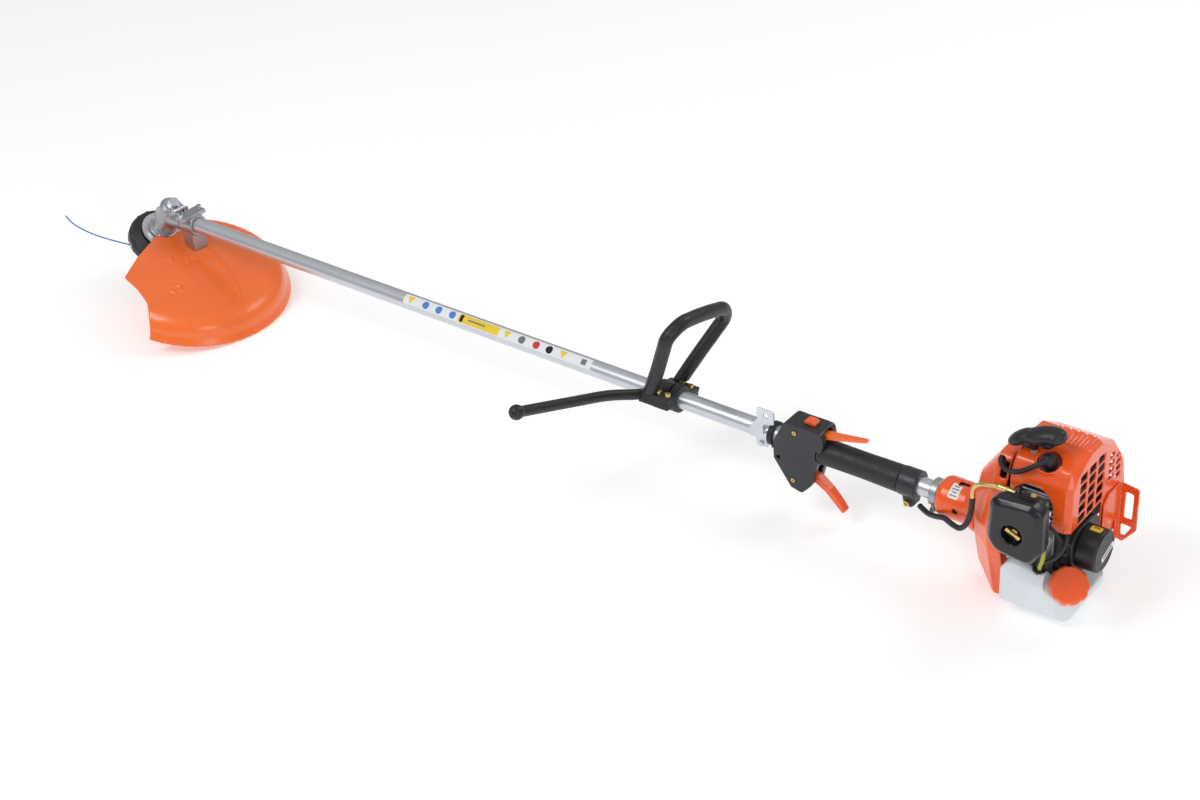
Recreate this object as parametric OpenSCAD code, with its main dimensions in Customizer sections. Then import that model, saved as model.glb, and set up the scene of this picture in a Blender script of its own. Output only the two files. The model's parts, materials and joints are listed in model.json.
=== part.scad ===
// String trimmer with a straight drive tube, a loop handle and a two-stroke engine.
// All shapes are drawn in the machine's own frame: X runs back along the drive tube,
// +Y is the operator's right, +Z is up, and x = 0 is the rear face of the starter drum.
// stand() then sets the machine on the floor, resting on its guard and its fan cover.

/* [Drive tube] */
// Outer diameter of the drive tube
tube_d = 26; // [24:0.5:28]
// Wall of the drive tube
tube_wall = 1.5; // [1.2:0.1:2]
// Front end of the drive tube
tube_front = -1704; // [-1710:1:-1695]
// Diameter of the drive shaft
shaft_d = 8; // [6:0.5:9]

/* [Cutting head] */
// Angle between the output shaft and the square of the tube
head_tilt = 35; // [30:1:40]
// Radius of the trimmer head
head_r = 53; // [48:1:54]
// Height of the trimmer head
head_h = 44; // [42:1:48]
// Radius of the guard's skirt
guard_r = 162; // [158:1:166]
// Angle between the guard's plate and the tube
guard_tilt = 14; // [12:1:15]
// Diameter of the cutting line
line_d = 2.4; // [2:0.1:3]

/* [Handles] */
// Place of the loop handle on the tube
loop_x = -672; // [-690:1:-640]
// Diameter of the loop handle's tube
loop_d = 21; // [19:0.5:23]
// Roll of the loop handle about the tube
loop_roll = 15; // [5:1:20]
// Backward lean of the loop handle
loop_lean = 22; // [10:1:24]
// Diameter of the rear grip
grip_d = 38; // [36:0.5:40]
// Length of the rear grip
grip_len = 126; // [120:1:128]
// Front of the throttle housing
throttle_x = -486; // [-492:1:-480]

/* [Engine] */
// Diameter of the clutch housing
clutch_d = 56; // [54:1:60]
// Radius of the flywheel fan
fan_r = 43; // [40:1:43]
// Radius of the starter drum
drum_r = 29; // [27:1:31]
// Depth of the starter drum
drum_len = 28; // [24:1:30]
// Radius of the fuel cap
cap_r = 25; // [23:1:26]

/* [Rest] */
// Slope of the tube when the machine rests on the floor
rest_slope = 1.3; // [1.2:0.05:1.4]
// Height of the crank axis at the drum face above the floor
axis_h = 103; // [102:0.5:104]

/* [Hidden] */
$fn = 48;
tube_r = tube_d / 2;
fit = 0.05;
gear_x = tube_front - 28;
tube_rear = -222;
drive_rear = -206;
head_top = -50;
head_bottom = head_top - head_h;
eyelet_turn = 253;
bracket_x0 = tube_front + 17;
bracket_x1 = bracket_x0 + 30;
clutch_x0 = -230;
fan_x0 = -166;
fan_x1 = -118;
case_x0 = fan_x1;
case_x1 = -52;
cyl_x = -74;
cyl_y = 4;
drum_x0 = -drum_len;
grip_x0 = throttle_x + 72;
grip_x1 = grip_x0 + grip_len;
clamp_x1 = grip_x1 + 26;
hanger_x0 = throttle_x - 38;
hanger_x1 = hanger_x0 + 30;
hanger_hole = [throttle_x - 9, -tube_r - 1.2, 35];
trigger_pin = [throttle_x + 44, 0, -44];
lockout_pin = [throttle_x + 68, 0, 22];
case_screw_at = [[throttle_x + 39, 26], [throttle_x + 36, -53]];
carb_x = -80;
carb_z = 65;
cap_at = [-24, -46, -36];
cap_turn = [0, 40, -60];
pulley_x0 = -127;
pulley_x1 = -119.5;
pulley_r = 30;
grip_at = [-96, -17, 153];
blue_line = [[-15, -50, -73], [-30, -64, -73], [-48, -80, -72], [-66, -94, -71], [-86, -105, -70],
    [-102, -110, -70], [-119, -110, -70]];

// ---- Helpers -------------------------------------------------------------

// Sets the machine on the floor
module stand() {
    translate([x_mid, y_mid, axis_h]) rotate([0, rest_slope, 0]) children();
}
x_mid = 909;
y_mid = 61.2;

// Everything below the floor, seen from the machine's own frame
module below_floor() {
    rotate([0, -rest_slope, 0]) translate([-300, -200, -axis_h - 100]) cube([400, 400, 100]);
}

// Extrudes a (Y, Z) outline from x0 to x1
module along_x(x0, x1) {
    translate([x0, 0, 0]) rotate([90, 0, 90]) linear_extrude(x1 - x0) children();
}

// Extrudes an (X, Z) outline from y0 to y1
module along_y(y0, y1) {
    translate([0, y1, 0]) rotate([90, 0, 0]) linear_extrude(y1 - y0) children();
}

// A round bar along X
module bar_x(r, x0, x1) {
    translate([x0, 0, 0]) rotate([0, 90, 0]) cylinder(r = r, h = x1 - x0);
}

// A round bar along Y
module bar_y(r, y0, y1) {
    translate([0, y1, 0]) rotate([90, 0, 0]) cylinder(r = r, h = y1 - y0);
}

// A rectangle with round corners, from corner a to corner b
module plate(a, b, r) {
    translate([a[0] + r, a[1]]) square([b[0] - a[0] - 2 * r, b[1] - a[1]]);
    translate([a[0], a[1] + r]) square([b[0] - a[0], b[1] - a[1] - 2 * r]);
    for (x = [a[0] + r, b[0] - r], y = [a[1] + r, b[1] - r]) translate([x, y]) circle(r);
}

// A socket-head screw that stands on z = 0 and points down
module screw(d, len) {
    head_r = 0.85 * d;
    difference() {
        cylinder(r = head_r, h = d);
        translate([0, 0, 0.45 * d]) cylinder(d = d, h = d, $fn = 6);
    }
    translate([0, 0, -len]) cylinder(d = d, h = len + 0.5);
}

// A frame that turns its own z axis onto the output shaft, with its origin where the gears meet
module at_head() {
    translate([gear_x, 0, 0]) rotate([0, head_tilt, 0]) children();
}

// A frame for the guard, square to the guard's plate
module at_guard() {
    translate([gear_x, 0, 0]) rotate([0, guard_tilt, 0]) children();
}

function unit(v) = v / norm(v);
function wrap(a) = a > 180 ? a - 360 : a < -180 ? a + 360 : a;
function round_one(a, b, c, r) = let (
    u = unit(a - b),
    v = unit(c - b),
    h = acos(max(-1, min(1, u * v))) / 2,
    d = min(r / tan(h), 0.45 * min(norm(a - b), norm(c - b))),
    mid = b + unit(u + v) * d / cos(h),
    s = b + u * d - mid,
    e = b + v * d - mid,
    a0 = atan2(s[1], s[0]),
    turn = wrap(atan2(e[1], e[0]) - a0)
) [for (i = [0:5]) mid + norm(s) * [cos(a0 + turn * i / 5), sin(a0 + turn * i / 5)]];
// Rounds every corner of an outline by r
function rounded(p, r) = [for (i = [0:len(p) - 1])
    each round_one(p[(i + len(p) - 1) % len(p)], p[i], p[(i + 1) % len(p)], r)];

function blend4(a, b, c, d, t) = 0.5 * (2 * b + (c - a) * t
    + (2 * a - 5 * b + 4 * c - d) * t * t + (3 * b - a - 3 * c + d) * t * t * t);
function smooth(p, n) = [for (i = [0:len(p) - 2], k = [0:n - 1])
    blend4(p[max(i - 1, 0)], p[i], p[i + 1], p[min(i + 2, len(p) - 1)], k / n), p[len(p) - 1]];
function headings(p) = [for (i = [0:len(p) - 1])
    unit(p[min(i + 1, len(p) - 1)] - p[max(i - 1, 0)])];
function carried(t, i, n) = i == len(t) ? [] :
    let (m = unit(n - t[i] * (n * t[i]))) concat([m], carried(t, i + 1, m));

// A round tube of radius r swept along a route, one closed polyhedron
module swept(route, r, sides, steps, side_way = [0.1, 0.3, 1]) {
    p = smooth(route, steps);
    t = headings(p);
    n = carried(t, 0, side_way);
    rings = len(p);
    pts = [for (i = [0:rings - 1], k = [0:sides - 1])
        let (a = 360 * k / sides) p[i] + r * (n[i] * cos(a) + cross(t[i], n[i]) * sin(a))];
    walls = [for (i = [0:rings - 2], k = [0:sides - 1]) let (m = (k + 1) % sides)
        [i * sides + k, (i + 1) * sides + k, (i + 1) * sides + m, i * sides + m]];
    start = [for (k = [0:sides - 1]) k];
    stop = [for (k = [sides - 1:-1:0]) (rings - 1) * sides + k];
    polyhedron(points = pts, faces = concat([start, stop], walls), convexity = 8);
}

// ---- Drive tube ----------------------------------------------------------

module drive_tube() {
    color("silver") difference() {
        bar_x(tube_r, tube_front, tube_rear);
        bar_x(tube_r - tube_wall, tube_front - 1, tube_rear + 1);
    }
}

// Rubber-backed bronze liners that keep the shaft in the middle of the tube
module shaft_liners() {
    liner_len = 34;
    color("sienna") for (x = [-1560, -1300, -1040, -780, -520, -262]) difference() {
        bar_x(tube_r - tube_wall - fit, x, x + liner_len);
        bar_x(shaft_d / 2 + fit, x - 1, x + liner_len + 1);
        for (a = [45:90:315]) rotate([a, 0, 0]) translate([x + liner_len / 2, 0, 8.5])
            cube([liner_len + 2, 3, 4], center = true);
    }
}

// Steel shaft with its splined rear end and the bevel pinion at its front
module drive_shaft() {
    pinion_r = 8.5;
    color("lightgray") {
        bar_x(shaft_d / 2, gear_x + 6, drive_rear);
        translate([gear_x + 6, 0, 0]) rotate([0, 90, 0]) cylinder(r1 = 5, r2 = pinion_r, h = 8, $fn = 14);
    }
}

// ---- Gear case and trimmer head ------------------------------------------

// Cast case: a neck over the tube, and a round body square to the output shaft
module gear_case() {
    neck_r = tube_r + 5;
    neck_x1 = tube_front + 16;
    body_r = 20;
    color("darkgray") difference() {
        union() {
            bar_x(neck_r, gear_x + 2, neck_x1);
            at_head() {
                translate([0, 0, -34]) cylinder(r = body_r, h = 56);
                translate([0, 0, 22]) cylinder(r1 = body_r, r2 = 15, h = 6);
                translate([0, 0, -40]) cylinder(r = 25, h = 7);
                translate([-24, -6, -34]) cube([14, 12, 30]);
            }
            translate([tube_front, -11, neck_r - 3]) cube([14, 22, 8]);
        }
        bar_x(tube_r + fit, tube_front - 0.1, neck_x1 + 1);
        bar_x(10, gear_x, tube_front + 1);
        at_head() {
            translate([0, 0, -32]) cylinder(r = 15, h = 50);
            translate([0, 0, -41]) cylinder(r = 9, h = 12);
            translate([0, 0, 17]) cylinder(r = 5 + fit, h = 12);
        }
        translate([tube_front - 1, -1.5, 8]) cube([18, 3, 14]);
        translate([tube_front + 7, 0, 22]) bar_y(2.6, -20, 20);
    }
}

// Hexagon plug that closes the grease hole on top of the case
module grease_plug() {
    color("gainsboro") at_head() {
        translate([0, 0, 18]) cylinder(r = 5, h = 10.2);
        translate([0, 0, 28]) cylinder(r = 11.5, h = 2);
        translate([0, 0, 30]) cylinder(r = 9.8, h = 8, $fn = 6);
    }
}

// Output shaft with its bevel gear, the flange and the clamp washer over it
module output_shaft() {
    color("gainsboro") at_head() {
        translate([0, 0, -24]) cylinder(r = 5, h = 22);
        translate([0, 0, -28]) cylinder(r = 8.6, h = 12);
        translate([0, 0, -16]) cylinder(r1 = 13, r2 = 11, h = 5, $fn = 19);
        translate([0, 0, head_bottom + 21]) cylinder(r = 5, h = 25);
        translate([0, 0, -50]) cylinder(r = 8.6, h = 25);
        translate([0, 0, -46]) cylinder(r = 36, h = 2.4);
        translate([0, 0, -44]) cylinder(r = 29, h = 3);
        translate([0, 0, head_top + 0.1]) cylinder(r = 24, h = 5);
    }
}

// Head housing: a ribbed drum round a spool, open below for the bump knob
module trimmer_head() {
    rim_h = 9;
    color([0.09, 0.09, 0.1]) at_head() difference() {
        union() {
            translate([0, 0, head_top - 7]) cylinder(r1 = head_r - 3, r2 = head_r - 16, h = 7);
            translate([0, 0, head_top - 7 - rim_h]) cylinder(r = head_r - 3, h = rim_h);
            translate([0, 0, head_top - 30]) cylinder(r = head_r, h = 14.1);
            translate([0, 0, head_bottom + 6]) cylinder(r = head_r - 6, h = head_h - 36);
            translate([0, 0, head_bottom]) cylinder(r1 = head_r - 12, r2 = head_r - 6, h = 6);
            for (a = [0:24:336]) rotate([0, 0, a]) translate([head_r - 8, -2, head_top - 15.4])
                cube([6.5, 4, 7.8]);
        }
        translate([0, 0, head_bottom - 1]) cylinder(r = 24, h = 31);
        translate([0, 0, head_bottom + 29]) cylinder(r = 5 + fit, h = head_h);
        for (a = [0:24:336]) rotate([0, 0, a + 12]) translate([head_r - 3.5, -4, head_bottom - 1])
            cube([8, 8, 14]);
        for (a = [0, 180]) rotate([0, 0, a + eyelet_turn]) translate([0, 0, head_top - 23])
            rotate([0, 90, 0]) cylinder(r = 4 + fit, h = head_r + 5);
    }
}

// Spring-loaded knob that feeds line when it is bumped on the ground
module bump_knob() {
    knob_r = 23.6;
    color([0.16, 0.16, 0.17]) at_head() {
        translate([0, 0, head_bottom - 4]) cylinder(r1 = 17, r2 = knob_r, h = 6);
        translate([0, 0, head_bottom + 2]) cylinder(r = knob_r, h = 12);
        translate([0, 0, head_bottom - 7]) cylinder(r1 = 12, r2 = 17, h = 3);
    }
}

module line_eyelets() {
    color("lightsteelblue") at_head() for (a = [0, 180]) rotate([0, 0, a + eyelet_turn])
        translate([0, 0, head_top - 23]) rotate([0, 90, 0]) difference() {
            union() {
                translate([0, 0, 30]) cylinder(r = 4, h = head_r - 29);
                translate([0, 0, head_r + 0.2]) cylinder(r = 5.4, h = 2);
            }
            translate([0, 0, 29]) cylinder(r = line_d / 2 + 0.4, h = head_r);
        }
}

// Line that leaves the eyelet and springs outward in a slow curve
module cutting_line() {
    color([0.25, 0.45, 0.85]) at_head() swept(blue_line, line_d / 2, 8, 12);
}

// ---- Guard ---------------------------------------------------------------

// Cast split clamp under the tube that carries the guard
module guard_bracket() {
    ear_z = tube_r + 5;
    color("darkgray") difference() {
        union() {
            bar_x(tube_r + 5, bracket_x0 + 0.4, bracket_x1);
            translate([bracket_x0 + 2, -24, ear_z - 5]) cube([24, 48, 7]);
            translate([bracket_x0 + 2, -14, -46]) cube([24, 28, 44]);
        }
        bar_x(tube_r + fit, bracket_x0 - 1, bracket_x1 + 1);
        translate([bracket_x0 - 1, -30, ear_z - 2.4]) cube([40, 60, 1.2]);
        at_guard() {
            translate(guard_mid + [0, 0, 0.05 - 33]) cylinder(r1 = 120, r2 = 0, h = 8, $fn = 96);
            translate([-60, -60, -92.9]) cube([200, 120, 60]);
        }
    }
}

// Guard outline seen square to its plate: wide at the back, pointed at the clamp
module guard_outline() {
    polygon(rounded([[-4, -22], [20, -90], [45, -142], [84, -148], [120, -160], [152, -184],
        [170, -215], [300, -215], [300, 200], [26, 200], [12, 70], [16, -22]], 7));
}

// Section of the guard shell: a shallow cone that rolls over into a hanging skirt
module guard_section(t) {
    top_z = -25;
    bend_r = 34;
    bend_c = guard_r - bend_r - 8;
    fall = 8;
    skirt = 8;
    steps = 9;
    outer = concat([[0, top_z], [bend_c, top_z - fall]],
        [for (i = [1:steps]) let (a = 90 - 82 * i / steps)
            [bend_c + bend_r * cos(a), top_z - fall - bend_r + bend_r * sin(a)]],
        [[guard_r, top_z - fall - bend_r - skirt]]);
    inner = concat([[guard_r - t, top_z - fall - bend_r - skirt]],
        [for (i = [steps:-1:1]) let (a = 90 - 82 * i / steps)
            [bend_c + (bend_r - t) * cos(a), top_z - fall - bend_r + (bend_r - t) * sin(a)]],
        [[bend_c, top_z - fall - t], [0, top_z - t]]);
    polygon(concat(outer, inner));
}

guard_mid = [102, -36, 0];
screw_x = 66;

// Hooked ribs on the plate, the crease beside them and a plain ring
module rib_outline() {
    rib = 2.2;
    translate([72, -44]) rotate(50) for (s = [-1, 1]) {
        translate([s * 34 - 22, 0]) square([44, rib]);
        translate([s * 34 - 22, -7]) square([44, rib]);
        translate([s * 13 - rib / 2, -16]) square([rib, 17]);
    }
    polygon([[86, 14], [114, 8], [168, -13], [214, -36], [213, -39], [167, -17], [113, 4], [85, 10]]);
    translate([128, -104]) difference() {
        circle(10);
        circle(7.6);
    }
}

module guard() {
    wall = 3;
    rib_h = 2.2;
    color("orangered") at_guard() difference() {
        union() {
            intersection() {
                translate(guard_mid) rotate_extrude($fn = 96) guard_section(wall);
                translate([0, 0, -140]) linear_extrude(160) guard_outline();
            }
            intersection() {
                translate(guard_mid + [0, 0, rib_h]) rotate_extrude($fn = 96) guard_section(wall);
                translate([0, 0, -50]) linear_extrude(60) rib_outline();
            }
        }
        for (s = [-1, 1]) translate([screw_x, s * 8, -60]) cylinder(r = 3.2, h = 80);
    }
}

// Screws of the gear case's clamp and flange, of the bracket, and of the guard
module head_screws() {
    color("gainsboro") {
        translate([tube_front + 7, -11, 22 - 0.6]) rotate([90, 0, 0]) screw(5, 18);
        at_head() for (a = [60:120:300]) rotate([0, 0, a]) translate([22, 0, -33])
            cylinder(r = 2.8, h = 2.6, $fn = 6);
        for (s = [-1, 1]) translate([bracket_x0 + 14, s * 20, tube_r + 7]) screw(5, 9);
        at_guard() for (s = [-1, 1]) translate([screw_x, s * 8,
                -28.2 - norm([screw_x - guard_mid[0], s * 8 - guard_mid[1]]) / 15]) rotate([180, 0, 0]) {
            cylinder(r = 5, h = 3);
            translate([0, 0, -9]) cylinder(r = 3, h = 9.5);
        }
    }
}

// Steel blade on the skirt that trims the line to length
module line_knife() {
    color("silver") at_guard() translate(guard_mid) rotate([0, 0, 88]) translate([guard_r - 3, 0, 0]) {
        translate([-2.3, -14, -88]) cube([2, 28, 22]);
        translate([-4.5, 0, -70]) rotate([0, 90, 0]) cylinder(r = 4, h = 9);
    }
}

// ---- Loop handle ---------------------------------------------------------

// A frame for the loop handle, rolled about the tube and leaned back
module at_loop() {
    translate([loop_x - 14, 0, 0]) rotate([-loop_roll, 0, 0]) rotate([0, loop_lean, 0]) translate([0, 5, 0]) children();
}

// Two-part split clamp round the tube
module handle_clamp() {
    color([0.1, 0.1, 0.11]) translate([loop_x, 0, 0]) rotate([-loop_roll, 0, 0]) difference() {
        union() {
            bar_x(tube_r + 7, -14, 24);
            translate([-26, -36, -9]) cube([50, 78, 18]);
        }
        rotate([loop_roll, 0, 0]) bar_x(tube_r + fit, -40, 40);
        translate([-40, -50, -0.8]) cube([80, 100, 1.6]);
        for (s = [-1, 1], x = [2, 17]) translate([x, s * 28, -20])
            cylinder(r = 2.6, h = 40);
        translate([8.5, -40, 9.1]) cube([2.4, 90, 20]);
    }
}

// Screws of the loop handle's clamp, the throttle case and the grip's clamp
module handle_screws() {
    color("goldenrod") {
        translate([loop_x, 0, 0]) rotate([-loop_roll, 0, 0])
            for (s = [-1, 1], x = [2, 17]) translate([x, s * 28, 9]) screw(5, 16);
        for (at = case_screw_at) translate([at[0], -15, at[1]]) rotate([90, 0, 0]) screw(4, 26);
        translate([grip_x1 + 12, -8, -28]) rotate([90, 0, 0]) screw(5, 14);
    }
}

// Closed loop of rubber-coated tube, narrower where it meets the clamp
module loop_handle() {
    w = 72;
    h = 142;
    foot = 36;
    color([0.08, 0.08, 0.09]) at_loop() difference() {
        swept([[0, -foot, 4], [0, -foot - 5, 24], [0, -foot - 14, 56], [0, -foot - 27, 94], [0, -w + 3, h - 24],
            [0, -w + 20, h - 4], [0, -w + 44, h], [0, 0, h + 1], [0, w - 44, h], [0, w - 20, h - 4],
            [0, w - 3, h - 24], [0, foot + 27, 94], [0, foot + 14, 56], [0, foot + 5, 24], [0, foot, 4]],
            loop_d / 2, 16, 5, [1, 0, 0]);
        rotate([0, -loop_lean, 0]) translate([-60, -80, -30]) cube([120, 160, 39.3]);
    }
}

// Barrier that keeps the operator behind the head, with a ball at its end
module barrier_bar() {
    bar_r = 8;
    color([0.08, 0.08, 0.09]) {
        swept([[loop_x - 26.4, -24, 6], [loop_x - 33, -38, 10], [loop_x - 46, -60, 17],
            [loop_x - 54, -84, 25], [loop_x - 60, -120, 37], [loop_x - 74, -236, 78]],
            bar_r, 14, 6);
        translate([loop_x - 74.5, -239, 79]) sphere(r = 11);
    }
}

// ---- Hanger --------------------------------------------------------------

// Pressed band with an upright plate for the harness hook
module hanger_bracket() {
    band = 1.6;
    hole = hanger_hole;
    color("lightsteelblue") difference() {
        union() {
            bar_x(tube_r + band, hanger_x0, hanger_x1);
            along_y(hole[1] - 1.3, hole[1] + 1.3) polygon(rounded([[hanger_x0 + 2, -6], [hanger_x0 + 2, 10],
                [hole[0] - 15, 26], [hole[0] - 15, hole[2] + 10], [hole[0] + 13, hole[2] + 10],
                [hole[0] + 13, 24], [hanger_x1 - 6, 19], [hanger_x1 - 6, -6]], 3));
            for (s = [-1, 1]) translate([hanger_x0 + 4, s * 2.4 - 1, -tube_r - 14])
                cube([18, 2, 16]);
        }
        bar_x(tube_r + fit, hanger_x0 - 1, hanger_x1 + 1);
        translate([hanger_x0 - 1, -1.4, -tube_r - 3]) cube([40, 2.8, 6]);
        translate([hole[0], 0, hole[2]]) bar_y(4, -30, 10);
        translate([hanger_x0 + 13, 0, -tube_r - 9]) bar_y(2.3, -8, 8);
    }
}

module hanger_screw() {
    color("silver") translate([hanger_x0 + 13, 0, -tube_r - 9]) {
        translate([0, -3.5, 0]) rotate([90, 0, 0]) cylinder(r = 4, h = 3.4);
        bar_y(2.2, -4, 9);
        translate([0, 7, 0]) rotate([90, 0, 0]) cylinder(r = 4.4, h = 3.5, $fn = 6);
    }
}

module tube_stop() {
    stop_x0 = hanger_x1 + 0.3;
    color([0.06, 0.06, 0.06]) difference() {
        union() {
            bar_x(tube_r + 4.5, stop_x0, throttle_x - 0.3);
            translate([stop_x0, -5, -tube_r - 9]) cube([7, 10, 10]);
        }
        bar_x(tube_r + fit, stop_x0 - 1, throttle_x + 1);
    }
}

// ---- Throttle handle -----------------------------------------------------

// Outline of the throttle case, and the same moved inward for its hollow
function case_outline(in) = [for (p = [[4 + in, -26], [4 + in, 2 - in / 2], [22 + in / 2, 38 - in],
    [82 - in, 38 - in], [85 - in, 20], [72 - in, -22], [64 - in, -54 + in / 2], [50, -70 + in],
    [32 + in / 2, -66 + in]]) p + [throttle_x, 0]];

// Everything that is cut out of the throttle case
module case_hollow() {
    along_y(-15, 15) polygon(rounded(case_outline(3), 4));
    bar_x(tube_r + fit, throttle_x - 2, throttle_x + 90);
    bar_x(grip_d / 2 + fit, grip_x0, grip_x1);
    translate([throttle_x + 56, -8, -58]) cube([20, 16, 36]);
    translate([throttle_x + 60, -8.5, 18]) cube([30, 17, 18]);
    translate([throttle_x + 44, -3.4, 30]) cube([19, 6.8, 20]);
    for (at = case_screw_at) translate([at[0], 0, at[1]]) bar_y(4, -20, -15);
    translate([throttle_x + 12, 0, -23]) bar_y(3, -30, -10);
}

// Bosses and hinge pins that cross the inside of the case
module case_posts() {
    for (at = case_screw_at) translate([at[0], 0, at[1]]) bar_y(4.6, -16, 16);
    translate(trigger_pin) bar_y(3, -16, 16);
    translate(lockout_pin) bar_y(2.5, -16, 16);
}

module case_half(y0, y1) {
    color([0.17, 0.17, 0.18]) intersection() {
        difference() {
            union() {
                difference() {
                    along_y(-18, 18) polygon(rounded(case_outline(0), 7));
                    case_hollow();
                }
                case_posts();
            }
            for (at = case_screw_at) translate([at[0], 0, at[1]]) bar_y(2.05, -20, 14);
        }
        translate([throttle_x - 10, y0, -90]) cube([120, y1 - y0, 150]);
    }
}

module throttle_case_left() {
    case_half(-18.5, -0.1);
}

module throttle_case_right() {
    case_half(0.1, 18.5);
}

// Rubber sleeve, a little narrower in the middle
module rear_grip() {
    r = grip_d / 2;
    color([0.12, 0.12, 0.13]) translate([grip_x0 + 0.2, 0, 0]) rotate([0, 90, 0]) rotate_extrude()
        polygon([[tube_r + fit, 0], [r - 2, 0], [r, 3], [r - 0.6, 30], [r - 0.8, 70],
            [r, grip_len - 12], [r, grip_len - 0.6], [tube_r + fit, grip_len - 0.6]]);
}

module grip_clamp() {
    r = grip_d / 2 + 1;
    color([0.12, 0.12, 0.13]) difference() {
        union() {
            bar_x(r, grip_x1, clamp_x1);
            along_y(-8, 8) polygon(rounded([[grip_x1 + 1, -10], [clamp_x1 - 1, -10],
                [clamp_x1 - 4, -30], [grip_x1 + 16, -36], [grip_x1 + 5, -32]], 5));
        }
        bar_x(tube_r + fit, grip_x1 - 1, clamp_x1 + 1);
        translate([grip_x1 - 1, -0.9, -40]) cube([40, 1.8, 30]);
        translate([grip_x1 + 12, 0, -28]) bar_y(2.6, -20, 20);
    }
}

// Curved trigger under the grip
module throttle_trigger() {
    px = trigger_pin[0];
    pz = trigger_pin[2];
    color("orangered") difference() {
        union() {
            along_y(-6, 6) polygon(rounded([[px - 8, pz - 2], [px - 4, pz + 7], [px + 12, pz + 6],
                [px + 28, pz - 1], [px + 44, pz - 13], [px + 58, pz - 28], [px + 68, pz - 42],
                [px + 63, pz - 45], [px + 50, pz - 32], [px + 36, pz - 19], [px + 20, pz - 10],
                [px + 2, pz - 8]], 3));
            along_y(-4, 4) polygon([[px - 4, pz + 4], [px + 4, pz + 4], [px + 2, pz + 24],
                [px - 3, pz + 24]]);
        }
        translate(trigger_pin) bar_y(3 + fit, -20, 20);
    }
}

// Long lever on top of the grip that frees the trigger
module trigger_lockout() {
    px = lockout_pin[0];
    pz = lockout_pin[2];
    color("darkorange") difference() {
        along_y(-7, 7) polygon(rounded([[px - 6, pz - 4], [px - 6, pz + 5], [px + 6, pz + 9],
            [px + 34, pz + 12], [px + 74, pz + 21], [px + 78, pz + 18.6], [px + 72, pz + 15.6],
            [px + 34, pz + 7.2], [px + 14, pz + 2.2], [px + 5, pz - 4]], 3));
        translate(lockout_pin) bar_y(2.5 + fit, -20, 20);
        for (s = [-1, 1]) translate([px + 50, s * 7, pz]) rotate([0, 0, -s * 5])
            translate([-10, s > 0 ? -1.5 : -8.5, -10]) cube([60, 10, 50]);
    }
}

// Slide switch on top of the case, with a ribbed thumb pad
module stop_switch() {
    x = throttle_x + 56;
    color("orangered") {
        translate([x - 9, -6.5, 38.4]) cube([18, 13, 4]);
        for (i = [-2:2]) translate([x + i * 3 - 0.9, -6.5, 42.3]) cube([1.8, 13, 3 - abs(i) * 0.5]);
        translate([x - 3, -3, 31]) cube([6, 6, 8]);
    }
}

// Throttle cable in its sheath, from the grip to the bracket at the carburettor
module throttle_cable() {
    color([0.05, 0.05, 0.05]) swept(cable_route, 4, 10, 6);
}
cable_route = [[-258, -9, -25], [-240, -18, -25], [-222, -29, -16], [-206, -36, -8], [-191, -41, -9],
    [-178, -45, -7], [-168, -47, 6], [-162, -48, 28], [-160, -49, 50]];

// Bent metal tube, its ferrule and the boot over the inner cable
module cable_end() {
    color("goldenrod") swept([[-160, -49, 50.2], [-159, -50, 64], [-153, -51, 74], [-142, -52, 80],
        [-124, -52, 84]], 3, 10, 5);
    color("gainsboro") swept([[-124, -52, 84], [-117, -52, 84.5], [-110, -52, 84.5]], 4.2, 12, 2);
    color([0.05, 0.05, 0.05]) swept([[-111, -52, 84.5], [-105, -52.5, 84.2], [-99, -53, 83.7]], 4.6, 12, 3);
}

// ---- Clutch --------------------------------------------------------------

module tube_clamp() {
    r = tube_r + 6;
    color("darkgray") difference() {
        union() {
            bar_x(r, -241, clutch_x0 - 0.3);
            translate([-241, -9, -r - 8]) cube([10.7, 18, 14]);
        }
        bar_x(tube_r + fit, -250, clutch_x0 + 1);
        translate([-250, -1, -r - 12]) cube([30, 2, 16]);
        translate([-236, 0, -r - 2]) bar_y(2.6, -20, 20);
    }
    color("gainsboro") translate([-236, -9, -r - 2]) rotate([90, 0, 0]) screw(5, 17);
}

// Round housing between the tube and the fan cover
module clutch_housing() {
    r = clutch_d / 2;
    color("orangered") difference() {
        translate([clutch_x0, 0, 0]) rotate([0, 90, 0]) rotate_extrude()
            polygon([[tube_r + fit, 0], [r - 8, 0], [r - 2, 4], [r, 9], [r, 44], [r + 5, 58],
                [r + 5, 63.8], [r - 3.5, 63.8], [r - 3.5, 11], [tube_r + fit, 9]]);
        translate([clutch_x0 + 26, -5, r - 6]) cube([14, 10, 12]);
        translate([clutch_x0 + 30, -r - 4, -4]) cube([8, 10, 8]);
    }
}

// Cup on the drive shaft that the shoes grip from inside
module clutch_drum() {
    color("gray") difference() {
        union() {
            bar_x(23, -218, -178);
            bar_x(7, -219.5, -206);
        }
        bar_x(21, -214.5, -170);
        bar_x(shaft_d / 2 + fit, -230, -206.1);
    }
}

// Two centrifugal shoes on their carrier
module clutch_shoes() {
    color("slategray") {
        difference() {
            bar_x(20.4, -202, -184);
            bar_x(11, -203, -183);
            translate([-203, -3, -30]) cube([20, 6, 60]);
        }
        difference() {
            bar_x(9.5, -204, -182);
            bar_x(6, -210, -180);
        }
        for (s = [-1, 1]) translate([-193, s * 10, 0]) rotate([90, 0, 0])
            cylinder(r = 4, h = 3, center = true);
    }
}

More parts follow.
